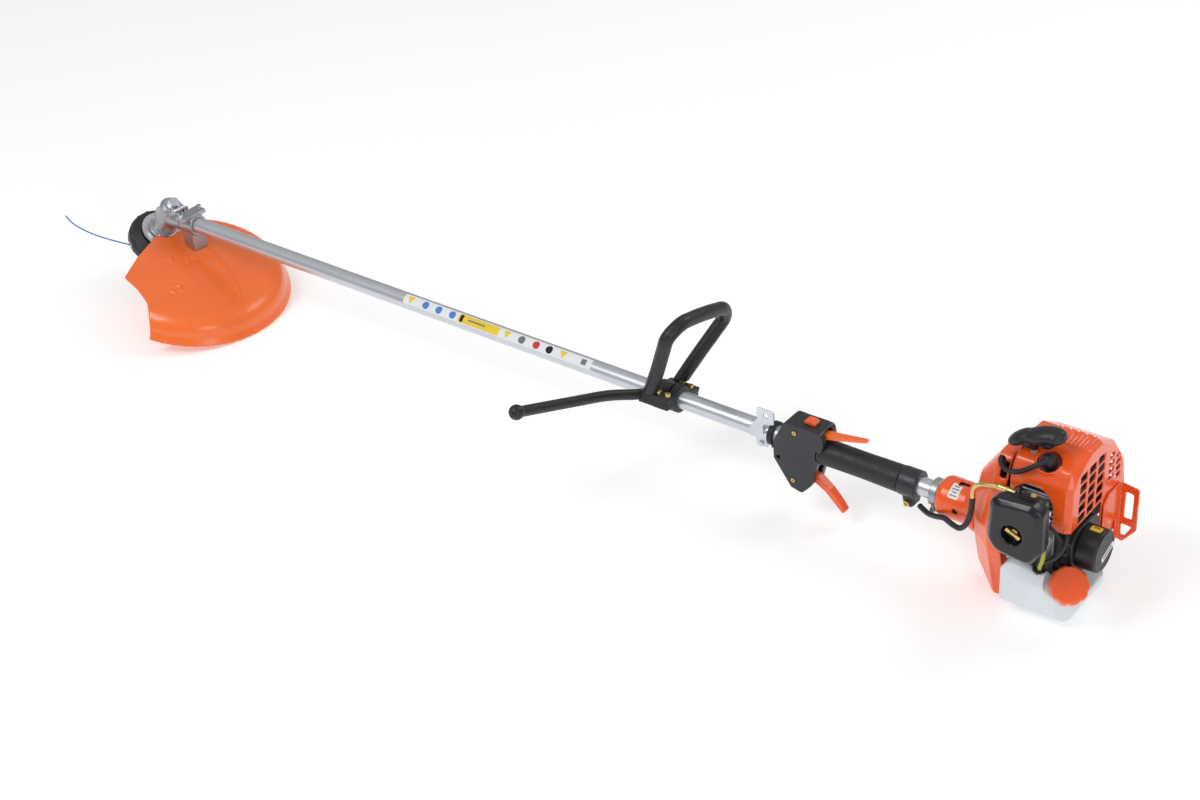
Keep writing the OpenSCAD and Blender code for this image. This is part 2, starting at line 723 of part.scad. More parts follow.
// Flywheel with fan blades on its front and the magnet in its rim
module flywheel() {
    color("darkgray") difference() {
        union() {
            bar_x(fan_r, -137, -130);
            bar_x(14, -150, -128);
            for (a = [0:30:330]) rotate([a, 0, 0]) translate([-149, 13, -1.2])
                rotate([8, 0, 0]) cube([13, fan_r - 18, 2.4]);
        }
        bar_x(6, -160, -120);
        for (a = [15:60:315]) rotate([a, 0, 0]) translate([-150, 26, 0]) bar_x(5, 0, 30);
    }
    color("dimgray") rotate([20, 0, 0]) translate([-136.5, fan_r - 3.8, -8]) cube([6, 3, 16]);
}

// Crankshaft with two webs and the crank pin between them
module crankshaft() {
    color("silver") {
        bar_x(5.95, -206, -84);
        bar_x(5.95, -66, -34);
        bar_x(8, -104, -90);
        for (x = [-92, -68]) intersection() {
            bar_x(22, x, x + 8);
            translate([x, -22, -24]) cube([8, 44, 44]);
        }
        translate([0, 0, 13]) bar_x(5, -88, -64);
    }
}

// ---- Engine block --------------------------------------------------------

// Split light-alloy case round the crank
module crankcase() {
    color("darkgray") difference() {
        union() {
            along_x(case_x0 + 0.3, case_x1) polygon(rounded([[-34, -40], [-38, 20], [-30, 38],
                [38, 38], [44, 20], [40, -40], [20, -48], [-16, -48]], 6));
            translate([case_x0 + 4, -42, -30]) cube([30, 10, 22]);
        }
        bar_x(25, -96, -59);
        bar_x(8.05, -120, -90);
        bar_x(6.1, -70, -40);
        translate([cyl_x - 17, cyl_y - 17, 8]) cube([28, 34, 40]);
        translate([cyl_x - 3, cyl_y, 8]) cylinder(r = 18.5, h = 40);
    }
}

// Finned cylinder with its head, the intake port on the left and the exhaust on the right
module cylinder_block() {
    fins = 9;
    difference() {
        union() {
            cylinder(r = 24, h = 74);
            for (i = [0:fins]) translate([0, 0, 4 + 7.4 * i])
                linear_extrude(2.2) plate([-33, -36], [27, 38], 12);
            translate([-20, -42, 14]) cube([34, 30, 26]);
            translate([-20, 14, 16]) cube([34, 32, 24]);
        }
        translate([0, 0, -1]) cylinder(r = 17, h = 62);
        translate([-3, 0, 27]) bar_y(6.5, -60, 60);
        at_plug_local() cylinder(r = 5.1, h = 60);
        at_plug_local() translate([0, 0, 12.9]) cylinder(r = 9.6, h = 60);
    }
}
module at_plug_local() {
    translate([2, -4, 60]) rotate([42, 10, 0]) children();
}
module engine_cylinder() {
    color("lightgray") translate([cyl_x - 3, cyl_y, 38.2]) cylinder_block();
}

module piston() {
    color("gainsboro") translate([cyl_x - 3, cyl_y, 43]) difference() {
        cylinder(r = 16.93, h = 24);
        translate([0, 0, -1]) cylinder(r = 14, h = 21);
        for (z = [17, 20]) translate([0, 0, z]) difference() {
            cylinder(r = 18, h = 1.2);
            cylinder(r = 16.2, h = 1.2);
        }
        translate([0, 0, 8]) bar_y(4, -20, 20);
    }
}

module at_plug() {
    translate([cyl_x - 3, cyl_y, 38.2]) at_plug_local() children();
}

module spark_plug() {
    color("white") at_plug() {
        translate([0, 0, -1]) cylinder(r = 5, h = 14);
        translate([0, 0, 13]) cylinder(r = 9, h = 8, $fn = 6);
        translate([0, 0, 21]) cylinder(r = 5.6, h = 12);
        translate([0, 0, 33]) cylinder(r = 2.6, h = 8);
    }
}

// Elbow boot over the plug and the lead that loops into the fan cover
module ignition_lead() {
    color([0.06, 0.06, 0.06]) {
        at_plug() difference() {
            union() {
                translate([0, 0, 24]) cylinder(r = 8.6, h = 22);
                translate([0, 0, 46]) sphere(r = 8.6);
            }
            translate([0, 0, 20]) cylinder(r = 5.7, h = 13.2);
            translate([0, 0, 30]) cylinder(r = 2.7, h = 11.2);
        }
        swept(lead_route, 3.4, 10, 6);
    }
}
lead_route = [[-72, -34, 132], [-79, -42, 127], [-98, -45, 113], [-113, -46, 108], [-123, -46, 112],
    [-127, -43, 120], [-126, -38, 118], [-125.5, -34, 104], [-125.5, -28, 94]];

// Coil block beside the flywheel's magnet
module ignition_coil() {
    color("dimgray") {
        translate([-144, -16, fan_r + 1]) cube([12, 32, 9]);
        translate([-148, -12, fan_r + 10.1]) cube([22, 24, 20]);
    }
}

// ---- Covers --------------------------------------------------------------

function fan_outline(s, in) = rounded([for (p = [[-50, -20], [-54, 14], [-46, 74], [-26, 118],
    [28, 118], [52, 92], [60, 34], [58, -24], [44, -66], [36, -118], [-24, -118], [-36, -62]])
    [p[0] * s - sign(p[0]) * in, p[1] * s - sign(p[1]) * in]], 16 * s);

// Bell-shaped cover over the flywheel, with a foot below
module fan_cover() {
    wall = 3;
    color("orangered") difference() {
        union() {
            hull() {
                along_x(fan_x0, fan_x0 + 1) polygon(fan_outline(0.62, 0));
                along_x(fan_x0 + 30, fan_x0 + 31) polygon(fan_outline(1, 0));
            }
            along_x(fan_x0 + 30, fan_x1) polygon(fan_outline(1, 0));
        }
        hull() {
            along_x(fan_x0 + wall, fan_x0 + wall + 1) polygon(fan_outline(0.62, 2));
            along_x(fan_x0 + 31, fan_x0 + 32) polygon(fan_outline(1, wall));
        }
        along_x(fan_x0 + 30, fan_x1 + 1) polygon(fan_outline(1, wall));
        bar_x(clutch_d / 2 - 3, fan_x0 - 1, fan_x0 + 5);
        translate([-130, -60, 88]) cube([9, 40, 20]);
        below_floor();
    }
}

// Outline of the cylinder cover across the machine
function cover_outline(in) = rounded([[-43 + in, 14 - 3 * in], [-43 + in, 104], [-31 + in, 123 - in],
    [6, 139 - in], [36, 137 - in], [86 - in, 106 - in], [110 - in, 68], [119 - in, 18],
    [106 - in, -20 - 3 * in], [50, -20 - 3 * in], [44, 14 - 3 * in]], 9);

module cylinder_cover() {
    wall = 2.6;
    x0 = fan_x1 + 0.4;
    x1 = -30;
    color("orangered") difference() {
        union() {
            hull() {
                along_x(x0 + 6, x1 - 8) polygon(cover_outline(0));
                along_x(x1 - 1, x1) polygon(cover_outline(5));
                along_x(x0, x0 + 1) polygon(cover_outline(6));
            }
            for (i = [0:9]) translate([-88 + i * 5.4, 4, 137]) rotate([2, 0, 0]) cube([2.4, 32, 2.6]);
            at_plug() difference() {
                translate([0, 0, 30]) cylinder(r = 17, h = 13);
                translate([-30, 0, 20]) cube([60, 40, 40]);
            }
        }
        along_x(x0 - 1, x1 - 10) polygon([[-43 + wall, -60], [-43 + wall, 103], [-29, 119.5],
            [6, 135.6], [35, 133.6], [83, 103.5], [106, 67], [115, 18], [103, -60]]);
        along_x(x1 - 10.1, x1 - wall) polygon([[-36, -60], [-36, 99], [-27, 113], [6, 128.5],
            [34, 127], [77, 99], [100, 65], [109, 18], [98, -60]]);
        at_plug() translate([0, 0, 12]) cylinder(r = 14.5, h = 40);
        hull() {
            translate([carb_x - 2, -50, 68]) bar_y(28, 0, 20);
            translate([carb_x - 2, -50, -20]) bar_y(28, 0, 20);
        }
        translate([-54, -60, -30]) cube([30, 106, 68.6]);
        for (c = [0:2], r = [0:4]) translate([x1 - 12, -19 + c * 24, 42 + r * 15]) cube([20, 18, 11]);
        for (c = [0:1], r = [0:3]) translate([x1 - 12, 62 + c * 20, 92 - r * 11 - c * 9]) cube([20, 13, 6]);
        for (r = [0:3]) translate([-66, 100, 62 - r * 12]) cube([26, 30, 6]);
        for (r = [0:4]) translate([-34, 64 + r * 9, 22 - r * 4]) bar_x(2.6, -10, 20);
        translate([grip_at[0], grip_at[1], 100]) cylinder(r = 4.5, h = 40);
    }
}

module muffler() {
    color("dimgray") difference() {
        union() {
            along_x(-106, -46) polygon(rounded([[54, -4], [54, 76], [76, 84], [98, 66], [102, 4],
                [92, -10]], 10));
            translate([cyl_x - 18, cyl_y + 46.1, 52]) cube([26, 8, 28]);
            translate([-60, 84, 20]) rotate([0, 100, 0]) cylinder(r = 7, h = 20);
        }
        along_x(-104.5, -47.5) polygon(rounded([[55.5, -2], [55.5, 75], [76, 82], [96, 65], [100, 5],
            [91, -8]], 9));
        translate([cyl_x - 6, 0, 65]) bar_y(6.5, 40, 70);
        translate([-60, 84, 20]) rotate([0, 100, 0]) translate([0, 0, -2]) cylinder(r = 5.5, h = 24);
    }
}

// Bumper plate at the right rear: one leaf on the cover, one standing back with a tall slot
module muffler_guard() {
    color("orangered") difference() {
        union() {
            along_x(-29.7, -27) polygon(rounded([[48, -46], [48, 30], [62, 40], [99, 38], [99, -50],
                [60, -56]], 4));
            along_y(96, 99) polygon(rounded([[-29.7, -50], [-29.7, 38], [-2, 34], [-2, -30],
                [-20, -54]], 4));
            translate([-54, 44.4, -54]) cube([27, 22, 3]);
            translate([-66, 44.4, -54]) cube([14, 3, 34]);
        }
        along_y(90, 110) polygon(rounded([[-20, -16], [-20, 26], [-9, 24], [-9, -16]], 3));
        along_y(90, 110) polygon(rounded([[-23, -44], [-23, -26], [-8, -26], [-18, -44]], 2));
        along_x(-40, -20) polygon(rounded([[58, -38], [58, -14], [88, -14], [88, -38]], 4));
    }
}

// ---- Intake --------------------------------------------------------------

// Heat-insulating block and the carburettor body with its bore
module carburetor() {
    y0 = -38.3 - 10;
    color("wheat") difference() {
        along_y(y0, cyl_y - 42.3) polygon(rounded([[carb_x - 19, carb_z - 12],
            [carb_x - 19, carb_z + 13], [carb_x + 19, carb_z + 13], [carb_x + 19, carb_z - 12]], 5));
        translate([carb_x, 0, carb_z]) bar_y(6.5, -60, -20);
    }
    color("silver") difference() {
        union() {
            translate([carb_x - 17, y0 - 27, carb_z - 13]) cube([34, 26.8, 26]);
            translate([carb_x - 13, y0 - 24, carb_z - 18]) cube([26, 21, 5.2]);
            translate([carb_x, y0 - 14, carb_z + 12]) cylinder(r = 6, h = 4);
            translate([carb_x + 8, y0 - 8, carb_z - 16]) cylinder(r = 3, h = 31);
            translate([carb_x + 17, y0 - 18, carb_z + 4]) rotate([0, 90, 0]) cylinder(r = 3.4, h = 5);
            translate([carb_x + 17, y0 - 9, carb_z + 4]) rotate([0, 90, 0]) cylinder(r = 3.4, h = 5);
            translate([carb_x - 22, y0 - 12, carb_z + 1]) cube([6, 4, 16]);
            translate([carb_x - 22, y0 - 16, carb_z + 13]) cube([6, 10, 3]);
        }
        translate([carb_x, 0, carb_z]) bar_y(8, -100, -20);
        translate([carb_x, y0 - 14, carb_z - 40]) cylinder(r = 2.05, h = 80);
    }
}

// Butterfly shaft with the arm that the cable pulls
module throttle_arm() {
    color("gainsboro") translate([carb_x, -62.3, carb_z]) {
        translate([0, 0, -12]) cylinder(r = 2, h = 30);
        translate([0, 0, 17]) linear_extrude(2) {
            circle(6);
            translate([-4, -3]) square([22, 6]);
            translate([-3, -4]) square([6, 22]);
        }
        translate([15, 0, 18]) cylinder(r = 2.6, h = 5);
    }
}

// Choke lever on the back of the carburettor, with its coloured tab
module choke_lever() {
    color("orangered") translate([carb_x + 23, -66.3, carb_z - 4]) {
        rotate([0, 90, 0]) cylinder(r = 4.4, h = 2.6);
        translate([0, -4, -14]) cube([2.6, 8, 14]);
        translate([0, -8, -22]) cube([9, 12, 8]);
    }
    color("silver") translate([carb_x + 17.2, -66.3, carb_z - 4]) rotate([0, 90, 0]) cylinder(r = 2, h = 6);
}

function filter_outline(in) = rounded([[-114 + in, 42], [-111 + in, 103 - in], [-54, 109 - in],
    [-40 - in, 99 - in], [-38 - in, 44], [-54, 18 + in], [-103 + in, 24 + in]], 12);

// Back plate of the air cleaner, screwed to the carburettor
module filter_case() {
    color([0.1, 0.1, 0.11]) difference() {
        along_y(-83, -75.6) polygon(filter_outline(2.6));
        along_y(-90, -78) polygon(filter_outline(5));
        translate([carb_x, 0, carb_z]) bar_y(8, -100, -60);
        translate([-78, 0, 59]) bar_y(2, -100, -60);
    }
    color("silver") translate([-78, 0, 59]) bar_y(1.9, -93, -77);
}

module air_filter() {
    color([0.25, 0.25, 0.22]) difference() {
        along_y(-95, -78.3) polygon(filter_outline(8));
        translate([-78, 0, 59]) bar_y(17, -100, -70);
    }
}

// Cover with a round well for the knob
module filter_cover() {
    color([0.08, 0.08, 0.09]) difference() {
        union() {
            along_y(-97, -83.2) polygon(filter_outline(0));
            hull() {
                along_y(-97, -96.9) polygon(filter_outline(0));
                along_y(-103, -102) polygon(filter_outline(7));
            }
        }
        difference() {
            along_y(-98, -80) polygon(filter_outline(3));
            translate([-78, 0, 59]) bar_y(16.5, -100, -84);
        }
        translate([-78, 0, 59]) bar_y(14, -110, -90);
        translate([-78, 0, 59]) bar_y(3, -110, -60);
    }
}

// Brass knob with two wings in the well
module cover_knob() {
    color("goldenrod") translate([-78, 0, 59]) difference() {
        union() {
            bar_y(5, -96, -90.2);
            rotate([0, 24, 0]) along_y(-99.5, -91) polygon(rounded([[-11, -3.5], [-11, 3.5], [-3, 2],
                [3, 2], [11, 3.5], [11, -3.5], [3, -2], [-3, -2]], 2));
        }
        bar_y(1.95, -94, -80);
    }
}

// ---- Fuel ----------------------------------------------------------------

function tank_side(in) = rounded([[-116 + in, -40], [-104 + in / 2, -20 - in], [-34, -20 - in],
    [-9 - in, -44], [-8 - in, -62], [-18 - in, -84 + in], [-38, -94 + in], [-100, -94 + in],
    [-116 + in, -80]], 14);
function tank_end(in) = rounded([[-66 + in, -36], [-58 + in / 2, -20 - in], [-47 - in, -20 - in],
    [-41 - in, -34], [-39, -53 - in], [32 - in, -53 - in], [37 - in, -64], [37 - in, -84],
    [28, -94 + in], [-42, -94 + in], [-58 + in, -84 + in], [-66 + in, -66]], 8);

function tank_top(in) = rounded([[-116 + in, -66 + in], [-36, -66 + in], [-8 - in, -38],
    [-8 - in, 37 - in], [-116 + in, 37 - in]], 20);

module at_cap() {
    translate(cap_at) rotate(cap_turn) children();
}

module fuel_tank() {
    wall = 2.4;
    color([0.93, 0.94, 0.92]) difference() {
        union() {
            difference() {
                intersection() {
                    along_y(-70, 60) polygon(tank_side(0));
                    along_x(-120, 0) polygon(tank_end(0));
                    translate([0, 0, -110]) linear_extrude(110) polygon(tank_top(0));
                }
                at_cap() cylinder(r = 31, h = 60);
            }
            at_cap() translate([0, 0, -14]) cylinder(r = 17, h = 24);
        }
        difference() {
            intersection() {
                along_y(-70, 60) polygon(tank_side(wall));
                along_x(-120, 0) polygon(tank_end(wall));
                translate([0, 0, -110]) linear_extrude(110) polygon(tank_top(wall));
            }
            at_cap() translate([0, 0, -wall]) cylinder(r = 34, h = 60);
        }
        at_cap() translate([0, 0, -20]) cylinder(r = 14.5, h = 60);
        translate([-62, -52, -30]) cylinder(r = 6, h = 20);
    }
}

// Cap with ten flutes round its rim
module fuel_cap() {
    color("orangered") at_cap() difference() {
        union() {
            translate([0, 0, 2]) cylinder(r = cap_r, h = 13);
            translate([0, 0, 15]) cylinder(r1 = cap_r, r2 = cap_r - 3, h = 3);
        }
        translate([0, 0, 1]) cylinder(r = 17.4, h = 10);
        for (a = [0:36:324]) rotate([0, 0, a]) translate([cap_r + 4.5, 0, 0]) cylinder(r = 6, h = 24);
    }
    color("orangered") at_cap() cylinder(r = 13, h = 11.2);
}

// Grommet in the tank and the two lines to the carburettor
module fuel_lines() {
    color([0.05, 0.05, 0.05]) {
        translate([-62, -52, -23]) cylinder(r = 5.9, h = 3);
        translate([-62, -52, -20]) cylinder(r = 8.5, h = 2.5);
        swept([[-59, -52, -17.4], [-52, -52, -8], [-46, -52, 4], [-38, -53, 22], [-36, -54, 38],
            [-44, -56, 50], [-58, -58, 60], [-62.8, -60, 62]], 2.2, 8, 6);
    }
    color("yellowgreen") swept([[-64.5, -52, -17.4], [-63, -52, -8], [-60, -53, 6], [-60, -57, 20],
        [-66, -63, 33], [-72, -66, 46.8]], 2.6, 8, 6);
}

// ---- Rear end ------------------------------------------------------------

// Dark block behind the crankcase that carries the drum
module starter_base() {
    color([0.12, 0.12, 0.13]) difference() {
        union() {
            along_x(case_x1 + 0.1, -36) polygon(rounded([[-35, -28], [-37, 28], [-20, 36],
                [24, 36], [44, 24], [44, -34], [20, -45], [-22, -43]], 9));
            along_x(-36, drum_x0 - 0.1) polygon(rounded([[-33, -26], [-34, 24], [-18, 32],
                [24, 32], [40, 20], [40, -32], [20, -42], [-20, -40]], 9));
        }
        bar_x(24, -50, drum_x0 + 1);
        bar_x(9, -60, -40);
        translate([-46, -44, -16]) cube([14, 14, 30]);
        at_cap() cylinder(r = cap_r + 1, h = 22);
    }
    color("gainsboro") translate([-39, -29.9, 0]) rotate([90, 0, 0]) cylinder(r = 5, h = 4, $fn = 6);
}

module starter_drum() {
    color([0.07, 0.07, 0.08]) difference() {
        union() {
            bar_x(drum_r, drum_x0, -2.5);
            translate([-2.5, 0, 0]) rotate([0, 90, 0]) cylinder(r1 = drum_r, r2 = drum_r - 2.5, h = 2.5);
        }
        bar_x(drum_r - 3, drum_x0 - 1, -4);
        translate([-1, 0, 0]) rotate([0, 90, 0]) cylinder(r = drum_r - 5, h = 4);
    }
}

// T-shaped starter grip, with the end of its rope below
module starter_grip() {
    r = 9.5;
    color([0.1, 0.1, 0.11]) translate(grip_at) rotate([0, 0, 70]) {
        hull() {
            translate([-37, -2, -3]) sphere(r = r - 3.5, $fn = 24);
            translate([34, 0, 0]) sphere(r = r, $fn = 24);
            translate([4, 3, 0]) sphere(r = r + 3, $fn = 24);
            translate([-14, -5, 0]) sphere(r = r + 1, $fn = 24);
        }
        translate([0, 0, -20]) cylinder(r1 = 7, r2 = 9, h = 14);
    }
    color("white") translate(grip_at) translate([0, 0, -23]) cylinder(r = 1.8, h = 5);
}

// Pulley that the rope winds on, turning freely on the crank
module rope_pulley() {
    color("ivory") difference() {
        union() {
            bar_x(pulley_r, pulley_x0, pulley_x0 + 1.6);
            bar_x(pulley_r - 5, pulley_x0, pulley_x1);
            bar_x(pulley_r, pulley_x1 - 1.6, pulley_x1);
        }
        bar_x(6, pulley_x0 - 1, pulley_x1 + 1);
        for (a = [0:60:300]) rotate([a, 0, 0]) translate([pulley_x0 - 1, 15, 0]) bar_x(4, 0, 10);
    }
}

stand() drive_tube();
stand() shaft_liners();
stand() drive_shaft();
stand() gear_case();
stand() head_screws();
stand() grease_plug();
stand() output_shaft();
stand() trimmer_head();
stand() bump_knob();
stand() line_eyelets();
stand() cutting_line();
stand() guard_bracket();
stand() guard();
stand() line_knife();
stand() handle_clamp();
stand() handle_screws();
stand() loop_handle();
stand() barrier_bar();
stand() hanger_bracket();
stand() hanger_screw();
stand() tube_stop();
stand() throttle_case_left();
stand() throttle_case_right();
stand() rear_grip();
stand() grip_clamp();
stand() throttle_trigger();
stand() trigger_lockout();
stand() stop_switch();
stand() throttle_cable();
stand() cable_end();
stand() tube_clamp();
stand() clutch_housing();
stand() clutch_drum();
stand() clutch_shoes();
stand() flywheel();
stand() crankshaft();
stand() fan_cover();
stand() crankcase();
stand() engine_cylinder();
stand() piston();
stand() spark_plug();
stand() ignition_lead();
stand() ignition_coil();
stand() cylinder_cover();
stand() muffler();
stand() muffler_guard();
stand() carburetor();
stand() throttle_arm();
stand() choke_lever();
stand() filter_case();
stand() air_filter();
stand() filter_cover();
stand() cover_knob();
stand() fuel_tank();
stand() fuel_cap();
stand() fuel_lines();
stand() starter_base();
stand() starter_drum();
stand() starter_grip();
stand() rope_pulley();
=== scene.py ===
"""String trimmer: surfaces, details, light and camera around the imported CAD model."""
import json
import math

import bmesh
import bpy
from mathutils import Matrix, Vector
from mathutils.bvhtree import BVHTree

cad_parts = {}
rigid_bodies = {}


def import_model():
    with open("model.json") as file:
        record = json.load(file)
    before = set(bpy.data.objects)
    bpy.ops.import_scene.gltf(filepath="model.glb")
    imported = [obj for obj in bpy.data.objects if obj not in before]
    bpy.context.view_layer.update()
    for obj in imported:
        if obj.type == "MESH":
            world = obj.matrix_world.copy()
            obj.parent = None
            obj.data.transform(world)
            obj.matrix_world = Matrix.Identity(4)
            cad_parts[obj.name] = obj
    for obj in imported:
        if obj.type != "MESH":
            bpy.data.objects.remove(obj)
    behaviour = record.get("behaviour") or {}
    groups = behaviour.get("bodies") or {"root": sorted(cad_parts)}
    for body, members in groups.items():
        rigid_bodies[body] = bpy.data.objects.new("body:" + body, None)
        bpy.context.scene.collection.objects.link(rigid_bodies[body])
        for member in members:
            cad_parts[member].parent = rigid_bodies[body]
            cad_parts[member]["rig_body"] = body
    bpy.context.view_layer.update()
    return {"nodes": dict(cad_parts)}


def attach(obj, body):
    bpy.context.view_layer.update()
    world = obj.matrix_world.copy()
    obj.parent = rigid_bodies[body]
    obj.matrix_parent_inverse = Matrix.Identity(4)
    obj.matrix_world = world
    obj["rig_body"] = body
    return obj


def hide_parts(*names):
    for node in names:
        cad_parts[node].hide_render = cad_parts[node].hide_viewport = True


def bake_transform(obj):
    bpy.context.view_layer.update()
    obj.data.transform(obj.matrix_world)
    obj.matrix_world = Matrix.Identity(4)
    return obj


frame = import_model()
nodes = frame["nodes"]

# ---- The machine's own frame ---------------------------------------------
# X runs back along the drive tube and z = 0 is the tube's axis, in millimetres.
SLOPE = math.radians(1.3)
MID = Vector((0.909, 0.0612, 0.103))
TILT = Matrix.Rotation(SLOPE, 3, "Y")
GEAR_X = -1732.0


def at(x, y, z):
    """A point given in the machine's millimetres, in the row frame."""
    return MID + TILT @ Vector((x, y, z)) / 1000


def way(x, y, z):
    """A direction given in the machine's frame, in the row frame."""
    return TILT @ Vector((x, y, z))


def mounted(origin, turn=None):
    """The matrix of a local frame in millimetres, set in the machine's frame."""
    m = TILT @ turn if turn else TILT.copy()
    m = m.to_4x4() @ Matrix.Scale(0.001, 4)
    m.translation = at(*origin)
    return m


# ---- Camera and cutting line ---------------------------------------------
camera_data = bpy.data.cameras.new("camera")
camera_data.lens = 60
camera_data.sensor_width = 36
camera_data.clip_end = 50
camera = bpy.data.objects.new("camera", camera_data)
bpy.context.scene.collection.objects.link(camera)
columns = [way(0.78818, 0.61179, -0.06699), way(-0.29237, 0.46799, 0.83397), way(0.54156, -0.63773, 0.54773)]
camera.matrix_world = Matrix(columns).transposed().to_4x4()
camera.location = at(795.9, -1880.0, 1560.5)
bpy.context.scene.camera = camera


def link(name, mesh):
    obj = bpy.data.objects.new(name, mesh)
    bpy.context.scene.collection.objects.link(obj)
    return obj


def spline(points, steps):
    """Catmull-Rom points through a route."""
    p = [Vector(q) for q in points]
    out = []
    for i in range(len(p) - 1):
        a, b, c, d = p[max(i - 1, 0)], p[i], p[i + 1], p[min(i + 2, len(p) - 1)]
        for k in range(steps):
            t = k / steps
            out.append(0.5 * (2 * b + (c - a) * t + (2 * a - 5 * b + 4 * c - d) * t ** 2
                              + (3 * b - a - 3 * c + d) * t ** 3))
    return out + [p[-1]]


def tube(name, path, radius, sides=16, end_scale=0.55):
    """A round tube along a path, with slightly rounded ends."""
    bm = bmesh.new()
    rings = []
    count = len(path)
    heading = [(path[min(i + 1, count - 1)] - path[max(i - 1, 0)]).normalized() for i in range(count)]
    side = Vector((0.1, 0.3, 1)).normalized()
    frames = []
    for i in range(count):
        side = (side - heading[i] * side.dot(heading[i])).normalized()
        frames.append((path[i], side.copy(), heading[i].cross(side), radius))
    cap = radius * 0.35
    first = (path[0], frames[0][1], frames[0][2], radius * end_scale)
    last = (path[-1], frames[-1][1], frames[-1][2], radius * end_scale)
    frames[0] = (path[0] + heading[0] * cap, frames[0][1], frames[0][2], radius)
    frames[-1] = (path[-1] - heading[-1] * cap, frames[-1][1], frames[-1][2], radius)
    for centre, u, v, r in [first] + frames + [last]:
        rings.append([bm.verts.new(centre + r * (u * math.cos(a) + v * math.sin(a)))
                      for a in (2 * math.pi * k / sides for k in range(sides))])
    for a, b in zip(rings, rings[1:]):
        for k in range(sides):
            bm.faces.new((a[k], b[k], b[(k + 1) % sides], a[(k + 1) % sides]))
    bm.faces.new(rings[0])
    bm.faces.new(rings[-1][::-1])
    bmesh.ops.recalc_face_normals(bm, faces=bm.faces)
    for f in bm.faces:
        f.smooth = True
    mesh = bpy.data.meshes.new(name)
    bm.to_mesh(mesh)
    bm.free()
    return link(name, mesh)


LINE_D = 0.0024
head_turn = Matrix.Rotation(math.radians(35), 3, "Y")
HEAD = mounted((GEAR_X, 0, 0), head_turn)
line_route = [(-15, -50, -73), (-30, -64, -73), (-48, -80, -72), (-66, -94, -71), (-86, -105, -70),
              (-102, -110, -70), (-119, -110, -70)]
line_path = [HEAD @ p for p in spline(line_route, 12)]
cutting_line = tube("cutting_line_nylon", line_path, LINE_D / 2, 12)
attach(cutting_line, "head")
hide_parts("cutting_line")


# ---- Materials -----------------------------------------------------------
class Shader:
    """A node material under construction."""

    def __init__(self, name):
        self.mat = bpy.data.materials.new(name)
        self.mat.use_nodes = True
        self.nodes = self.mat.node_tree.nodes
        self.links = self.mat.node_tree.links
        self.bsdf = self.nodes["Principled BSDF"]
        self.coords = self.nodes.new("ShaderNodeTexCoord").outputs["Object"]

    def noise(self, scale, detail=3.0, stretch=None):
        source = self.coords
        if stretch:
            mapping = self.nodes.new("ShaderNodeMapping")
            mapping.inputs["Scale"].default_value = stretch
            self.links.new(source, mapping.inputs["Vector"])
            source = mapping.outputs["Vector"]
        n = self.nodes.new("ShaderNodeTexNoise")
        n.inputs["Scale"].default_value = scale
        n.inputs["Detail"].default_value = detail
        self.links.new(source, n.inputs["Vector"])
        return n.outputs["Fac"]

    def ramp(self, fac, stops):
        r = self.nodes.new("ShaderNodeValToRGB")
        elements = r.color_ramp.elements
        while len(elements) < len(stops):
            elements.new(0.5)
        for e, (place, colour) in zip(elements, stops):
            e.position = place
            e.color = (*colour, 1)
        self.links.new(fac, r.inputs["Fac"])
        return r.outputs["Color"]

    def spread(self, fac, low_value, high_value):
        m = self.nodes.new("ShaderNodeMapRange")
        m.inputs["From Min"].default_value = 0.3
        m.inputs["From Max"].default_value = 0.7
        m.inputs["To Min"].default_value = low_value
        m.inputs["To Max"].default_value = high_value
        self.links.new(fac, m.inputs["Value"])
        return m.outputs["Result"]

    def bump(self, height, strength, distance):
        b = self.nodes.new("ShaderNodeBump")
        b.inputs["Strength"].default_value = strength
        b.inputs["Distance"].default_value = distance
        self.links.new(height, b.inputs["Height"])
        last = self.bsdf.inputs["Normal"]
        if last.is_linked:
            self.links.new(last.links[0].from_socket, b.inputs["Normal"])
        self.links.new(b.outputs["Normal"], last)

    def set(self, **values):
        for key, value in values.items():
            self.bsdf.inputs[key.replace("_", " ")].default_value = value


def scaled(colour, k):
    return tuple(min(1.0, c * k) for c in colour)


def plastic(name, colour, rough, grain=900.0, grain_depth=0.00006, grain_strength=0.25, mottle=0.07, coat=0.0):
    """Moulded plastic: fine grain, faint flow mottling and uneven gloss."""
    s = Shader(name)
    wide = s.noise(26.0, 4.0)
    s.links.new(s.ramp(wide, [(0.3, scaled(colour, 1 - mottle)), (0.7, scaled(colour, 1 + mottle))]),
                s.bsdf.inputs["Base Color"])
    s.links.new(s.spread(s.noise(140.0, 5.0), rough * 0.85, rough * 1.2), s.bsdf.inputs["Roughness"])
    s.bump(s.noise(grain, 2.0), grain_strength, grain_depth)
    s.set(Coat_Weight=coat, Coat_Roughness=0.12)
    return s.mat


def metal(name, colour, rough, stretch=None, grain=1200.0, strength=0.2, depth=0.00004, tarnish=0.1, metallic=1.0):
    """Metal with drawn or cast grain and a faint tarnish."""
    s = Shader(name)
    s.set(Metallic=metallic)
    stops = [(0.3, scaled(colour, 1 - tarnish)), (0.7, scaled(colour, 1 + tarnish / 2))]
    s.links.new(s.ramp(s.noise(34.0, 5.0), stops), s.bsdf.inputs["Base Color"])
    grain_value = s.noise(grain, 3.0, stretch)
    s.links.new(s.spread(grain_value, rough * 0.8, rough * 1.25), s.bsdf.inputs["Roughness"])
    s.bump(grain_value, strength, depth)
    return s.mat


